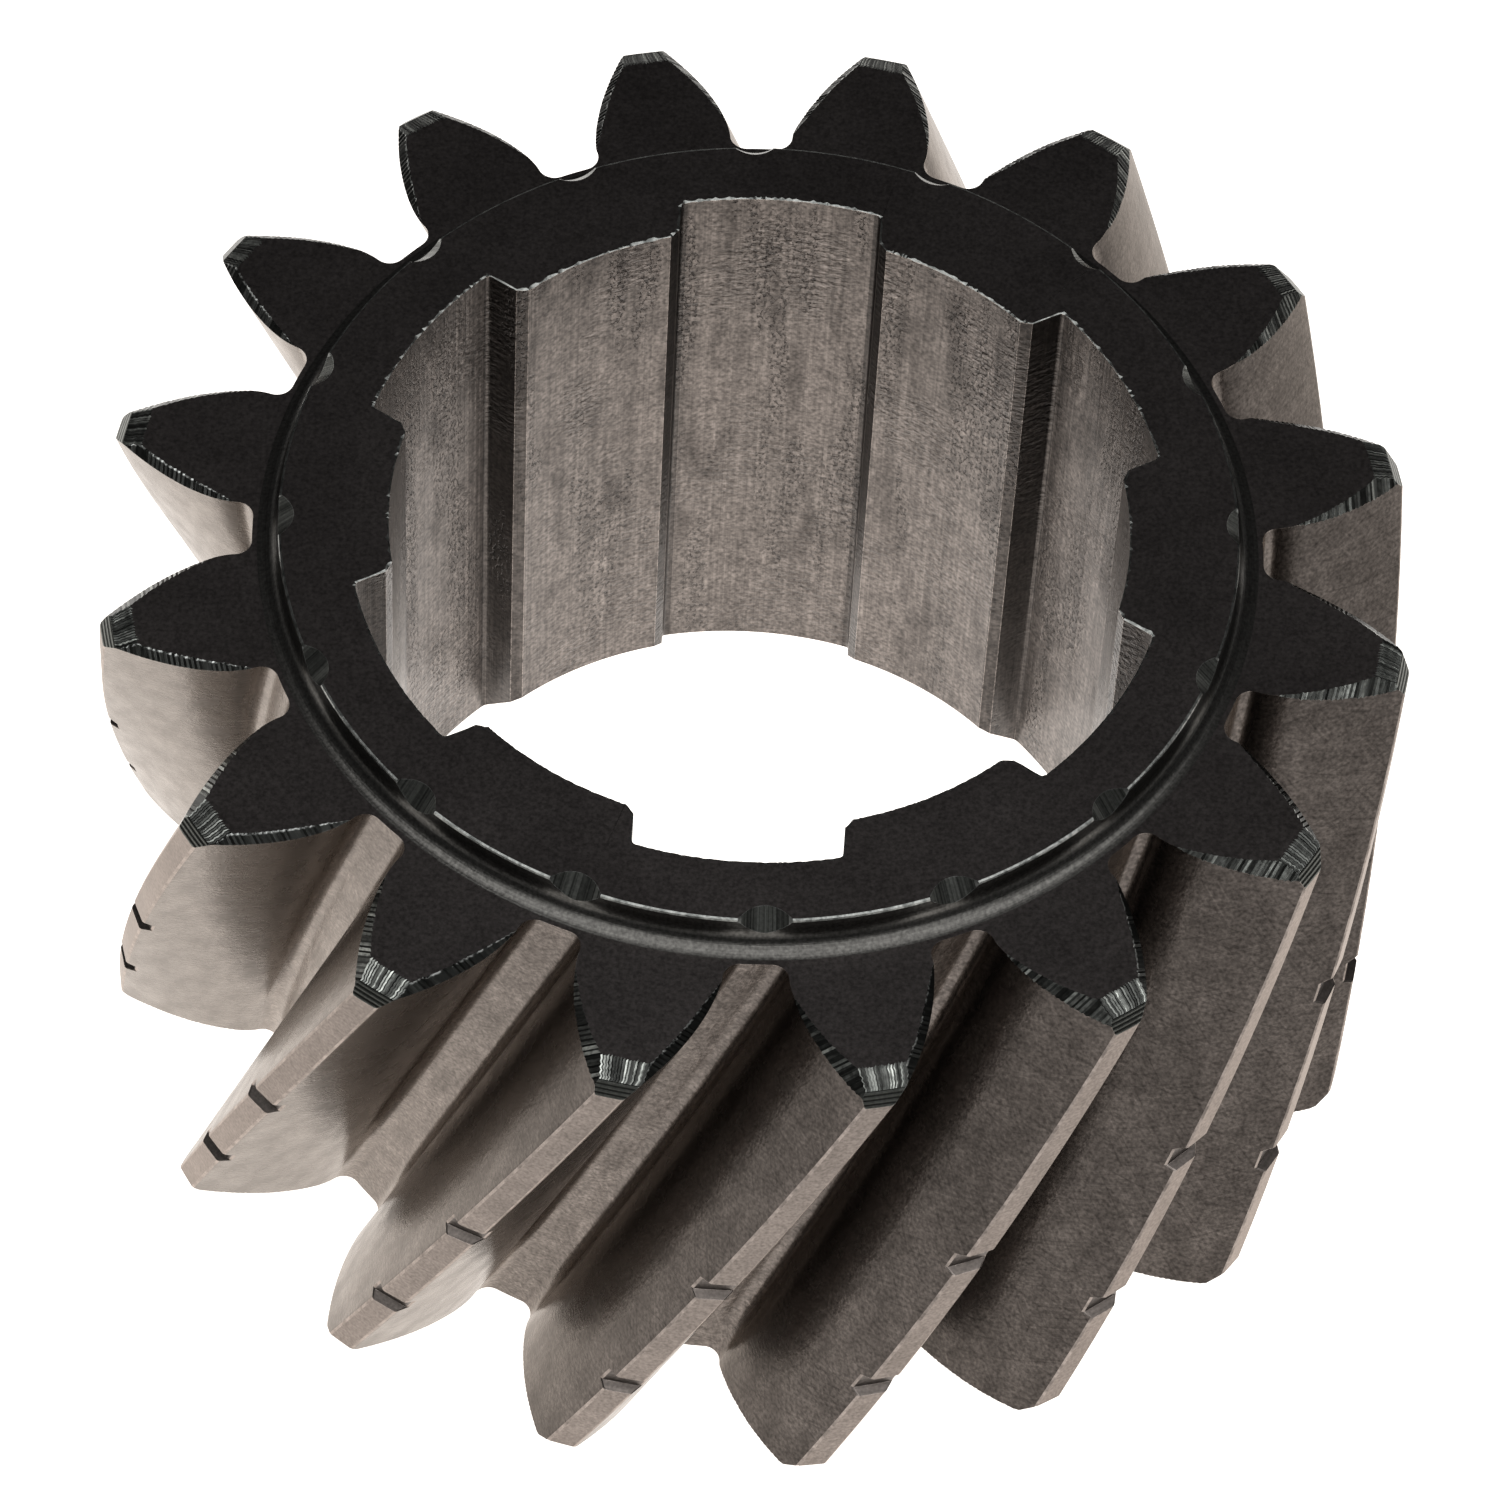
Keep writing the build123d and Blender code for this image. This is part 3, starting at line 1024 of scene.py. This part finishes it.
def bore_finish(name, level):
    """Broached bore: straight tool lines, torn spots and ripples in patches, stains, pits."""
    m = Finish(name, warm(level), roughness=0.36)
    lines = m.pattern(1.0, 3.0, stretch=(2.6, 0.012))
    m.tone(lines, 0.76, 1.22)
    m.lift(lines, 0.010)
    fine = m.pattern(1.0, 2.0, stretch=(9.0, 0.05), shift=3.0)
    m.tone(fine, 0.90, 1.10)
    m.lift(fine, 0.003)
    torn_patch = m.pattern(1.0, 2.0, stretch=(0.26, 0.03), shift=7.0, span=(0.49, 0.58))
    torn = m.pattern(1.0, 3.0, stretch=(3.0, 1.4), shift=11.0, span=(0.52, 0.62))
    spots = m.times(torn_patch, torn)
    m.lift(spots, -0.035)
    m.tone(spots, 1.0, 0.50)
    ripple = m.pattern(1.0, 3.0, stretch=(1.0, 1.7), shift=31.0)
    rippled_patch = m.pattern(1.0, 2.0, stretch=(0.13, 0.06), shift=37.0, span=(0.47, 0.60))
    m.lift(m.times(ripple, rippled_patch), 0.06)
    stain = m.pattern(1.0, 5.0, stretch=(0.34, 0.07), shift=5.0, span=(0.52, 0.66))
    m.tint(m.times(stain, 0.52), STAIN_TONE)
    m.rough(stain, 0.06)
    m.tone(m.pattern(0.45, 4.0, span=(0.32, 0.68)), 0.80, 1.18)
    pits = m.pattern(1.6, 2.0, span=(0.60, 0.72))
    m.tone(m.times(pits, m.pattern(0.2, 3.0, span=(0.40, 0.60))), 1.0, 0.62)
    m.grain(amount=0.48, size=2.4, relief=0.007)
    m.edges(0.14, warm(0.8), strength=0.9, span=(0.30, 0.50), scale=1.2)
    m.finish()


def groove_finish():
    """Identification grooves, darker than the lands round them: painted shade in the recess."""
    m = Finish("groove", warm(0.13), roughness=0.38)
    m.tone(m.pattern(1.0, 2.0, stretch=(0.10, 5.0)), 0.75, 1.15)
    m.grain(amount=0.22)
    m.edges(0.12, warm(0.6), strength=0.6)
    m.finish()


face_finish()
milled_finish()
turned_finish()
land_finish()
flank_finish()
hub_finish()
nick_finish()
worn_and_highlit_finish()
edge_finish()
bore_finish("bore", level=0.124)
# the spline walls take the bore's finish at under half its tone: painted shade
bore_finish("wall", level=0.058)
groove_finish()
for region in REGIONS:
    mesh.materials.append(finishes[region])
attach(gear, "root")
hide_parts("helical_gear")

# ---------------------------------------------------------------- floor, light and camera (metres)
FLOOR_HALF = 3
FLOOR_COLOUR = (0.8, 0.8, 0.8, 1)
FLOOR_ROUGHNESS = 0.9
GLOW_COLOUR = (1.0, 0.95, 0.90, 1)
# the floor glows most round this place, and fades towards the room: (distances), (strengths)
GLOW_CENTRE = (0.005, 0.02, 0.0)
GLOW = ((0.03, 0.115), (1.75, 1.0))
FADE = ((0.22, 0.60), (1.0, 0.40))
# brightness of the room from the horizon and below it (0) up to straight overhead (1)
SKY = ((0.0, 0.65), (0.05, 0.17), (0.16, 0.055), (1.0, 0.032))
LAMP_SIZE = (1.5, 1.25)
LAMP_POWER = 11.0
LAMP_PLACE = (0.12, -0.4, 1.034)
CAMERA_PLACE = (0.00298, -0.41898, 0.63467)
CAMERA_TURN = (34.830, -1.977, 3.196)
CAMERA_LENS = 182.28
CAMERA_SENSOR = 36


def glowing_floor():
    """Plain pale floor that lights the gear from below, as a white sheet does."""
    half = FLOOR_HALF
    sheet = bpy.data.meshes.new("floor")
    corners = [(-half, -half, 0), (half, -half, 0), (half, half, 0), (-half, half, 0)]
    sheet.from_pydata(corners, [], [(0, 1, 2, 3)])
    white = bpy.data.materials.new("floor")
    white.use_nodes = True
    nodes = Nodes(white.node_tree)
    place = nodes.add("ShaderNodeTexCoord").outputs["Object"]
    near = nodes.add("ShaderNodeVectorMath", {0: place, 1: GLOW_CENTRE}, operation="DISTANCE")
    away = nodes.add("ShaderNodeVectorMath", {0: place}, operation="LENGTH")
    glow = nodes.remap(near.outputs["Value"], *GLOW[0], *GLOW[1])
    fade = nodes.remap(away.outputs["Value"], *FADE[0], *FADE[1])
    shader = white.node_tree.nodes["Principled BSDF"]
    shader.inputs["Base Color"].default_value = FLOOR_COLOUR
    shader.inputs["Roughness"].default_value = FLOOR_ROUGHNESS
    shader.inputs["Emission Color"].default_value = GLOW_COLOUR
    white.node_tree.links.new(nodes.times(glow, fade), shader.inputs["Emission Strength"])
    sheet.materials.append(white)
    floor = bpy.data.objects.new("floor", sheet)
    bpy.context.scene.collection.objects.link(floor)


def dim_room():
    """World that darkens from the horizon upwards."""
    world = bpy.data.worlds.new("studio")
    bpy.context.scene.world = world
    world.use_nodes = True
    nodes = Nodes(world.node_tree)
    direction = nodes.add("ShaderNodeTexCoord").outputs["Generated"]
    upward = nodes.add("ShaderNodeSeparateXYZ", {0: direction}).outputs["Z"]
    sky = nodes.add("ShaderNodeValToRGB", {"Fac": upward})
    stops = sky.color_ramp.elements
    while len(stops) < len(SKY):
        stops.new(1.0)
    for stop, (height, level) in zip(stops, SKY):
        stop.position = height
        stop.color = (level, level, level, 1)
    background = world.node_tree.nodes["Background"]
    world.node_tree.links.new(sky.outputs["Color"], background.inputs["Color"])


def overhead_lamp():
    data = bpy.data.lights.new("overhead", "AREA")
    data.shape = "RECTANGLE"
    data.size, data.size_y = LAMP_SIZE
    data.energy = LAMP_POWER
    lamp = bpy.data.objects.new("overhead", data)
    bpy.context.scene.collection.objects.link(lamp)
    lamp.location = LAMP_PLACE


def main_camera():
    data = bpy.data.cameras.new("camera")
    data.lens = CAMERA_LENS
    data.sensor_width = CAMERA_SENSOR
    camera = bpy.data.objects.new("camera", data)
    bpy.context.scene.collection.objects.link(camera)
    camera.location = CAMERA_PLACE
    camera.rotation_euler = [radians(angle) for angle in CAMERA_TURN]
    bpy.context.scene.camera = camera


glowing_floor()
dim_room()
overhead_lamp()
main_camera()
bpy.context.scene.view_settings.view_transform = "Standard"
